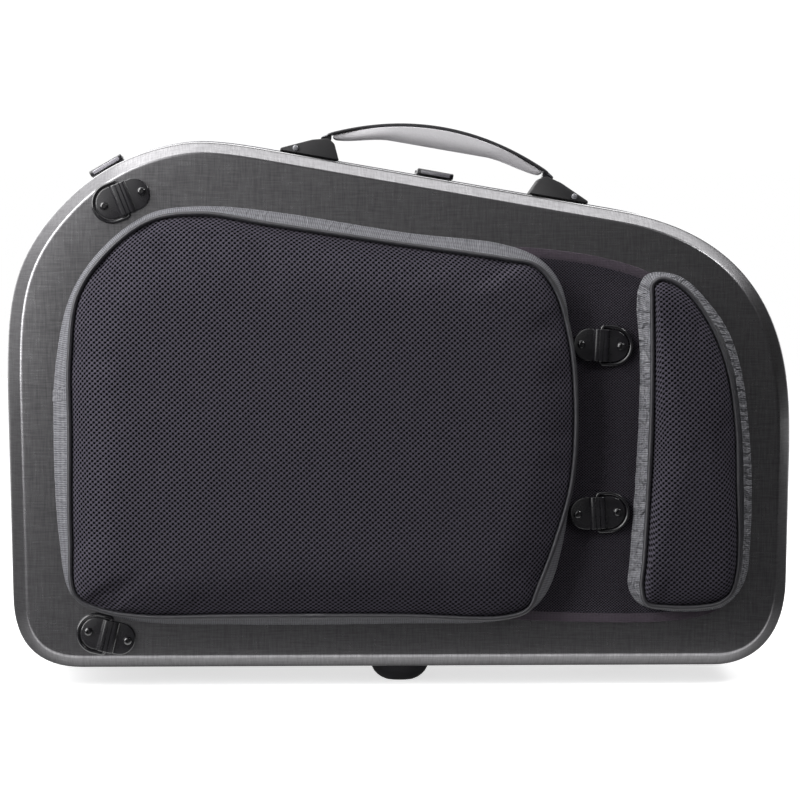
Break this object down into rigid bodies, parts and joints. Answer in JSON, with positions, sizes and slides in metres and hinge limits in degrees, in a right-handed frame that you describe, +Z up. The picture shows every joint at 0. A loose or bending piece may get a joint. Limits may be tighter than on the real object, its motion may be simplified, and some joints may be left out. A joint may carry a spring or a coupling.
{
  "type": "french horn case",
  "caption": "Rigid horn case standing on its long side: hinged deep lid, foam bed for a horn, carrying handle, latches, mesh back cushions and strap rings for wear on the back.",
  "frame": {"origin": "on the floor under the middle of the bounding box of the standing case", "axes": "+X from the deep bell end to the shallow end along the case length, +Y from the flat back with the cushions to the domed lid, +Z up from the feet to the handle"},
  "size_m": [0.6615, 0.3492, 0.4664],
  "materials": {
    "shell": "satin graphite with a fine linen texture",
    "rim_metal": "brushed",
    "seal_rubber": "matte",
    "foot_rubber": "matte",
    "velvet": "short pile velvet",
    "bed_foam": "foam block under a knit cover",
    "mesh_cushion": "open spacer mesh over foam",
    "knit_panel": "fine black knit",
    "ribbon": "grey ribbed webbing",
    "piping": "black smooth piping",
    "black_plastic": "matte black",
    "black_metal": "black satin",
    "bright_metal": "polished",
    "grip_rubber": "soft grey"
  },
  "bodies": {
    "back_half": {"back_shell": "shell", "back_lining": "velvet", "foam_bed": "bed_foam", "mouthpiece_block": "bed_foam", "accessory_tray": "black_plastic", "back_rim": "rim_metal", "rim_seal": "seal_rubber", "pad_panel": "knit_panel", "back_pad": "mesh_cushion", "back_pad_ribbon": "ribbon", "back_pad_piping": "piping", "shoulder_pad": "mesh_cushion", "shoulder_pad_ribbon": "ribbon", "shoulder_pad_piping": "piping", "strap_plate_upper_left": "black_metal", "strap_plate_lower_left": "black_metal", "strap_plate_upper_right": "black_metal", "strap_plate_lower_right": "black_metal", "strap_screw_1": "black_metal", "strap_screw_2": "black_metal", "strap_screw_3": "black_metal", "strap_screw_4": "black_metal", "strap_screw_5": "black_metal", "strap_screw_6": "black_metal", "strap_screw_7": "black_metal", "strap_screw_8": "black_metal", "handle_foot_left": "black_plastic", "handle_pin_left": "bright_metal", "handle_foot_right": "black_plastic", "handle_pin_right": "bright_metal", "handle_strip": "black_plastic", "handle_grip": "grip_rubber", "hinge_back_leaf_left": "black_metal", "hinge_pin_left": "black_metal", "hinge_back_leaf_right": "black_metal", "hinge_pin_right": "black_metal", "latch_keeper_left": "black_plastic", "latch_keeper_middle": "black_plastic", "latch_keeper_right": "black_plastic", "centre_foot": "foot_rubber"},
    "lid": {"front_shell": "shell", "front_rim": "rim_metal", "front_lining": "velvet", "lid_pad": "bed_foam", "front_foot_left": "foot_rubber", "front_foot_right": "foot_rubber", "hinge_front_leaf_left": "black_metal", "hinge_front_leaf_right": "black_metal", "latch_base_left": "black_plastic", "latch_base_middle": "black_plastic", "latch_base_right": "black_plastic"},
    "lever_left": {"latch_lever_left": "black_plastic"},
    "lever_middle": {"latch_lever_middle": "black_plastic"},
    "lever_right": {"latch_lever_right": "black_plastic"},
    "ring_upper_left": {"d_ring_upper_left": "black_metal"},
    "ring_lower_left": {"d_ring_lower_left": "black_metal"},
    "ring_upper_right": {"d_ring_upper_right": "black_metal"},
    "ring_lower_right": {"d_ring_lower_right": "black_metal"}
  },
  "joints": [
    {"name": "lid_hinge", "type": "hinge", "parent": "back_half", "child": "lid", "pos_m": [-0.00263, -0.05425, 0.0083], "axis": [-1, 0, 0], "range_deg": [0, 110]},
    {"name": "latch_pivot_left", "type": "hinge", "parent": "lid", "child": "lever_left", "pos_m": [-0.2489, -0.03725, 0.43284], "axis": [-0.8637, 0, -0.5041], "range_deg": [0, 100]},
    {"name": "latch_pivot_middle", "type": "hinge", "parent": "lid", "child": "lever_middle", "pos_m": [0.03079, -0.03725, 0.42594], "axis": [-0.9854, 0, 0.17], "range_deg": [0, 100]},
    {"name": "latch_pivot_right", "type": "hinge", "parent": "lid", "child": "lever_right", "pos_m": [0.32798, -0.03725, 0.16177], "axis": [0.0229, 0, 0.9997], "range_deg": [0, 100]},
    {"name": "ring_pivot_upper_left", "type": "hinge", "parent": "back_half", "child": "ring_upper_left", "pos_m": [-0.2309, -0.15135, 0.40235], "axis": [-0.3698, 0, 0.9291], "range_deg": [0, 165]},
    {"name": "ring_pivot_lower_left", "type": "hinge", "parent": "back_half", "child": "ring_lower_left", "pos_m": [-0.24353, -0.15135, 0.0437], "axis": [0.2317, 0, 0.9728], "range_deg": [0, 100]},
    {"name": "ring_pivot_upper_right", "type": "hinge", "parent": "back_half", "child": "ring_upper_right", "pos_m": [0.16155, -0.15325, 0.28219], "axis": [-0.0523, 0, -0.9986], "range_deg": [0, 110]},
    {"name": "ring_pivot_lower_right", "type": "hinge", "parent": "back_half", "child": "ring_lower_right", "pos_m": [0.15909, -0.15325, 0.1442], "axis": [0.0506, 0, -0.9987], "range_deg": [0, 110]}
  ]
}
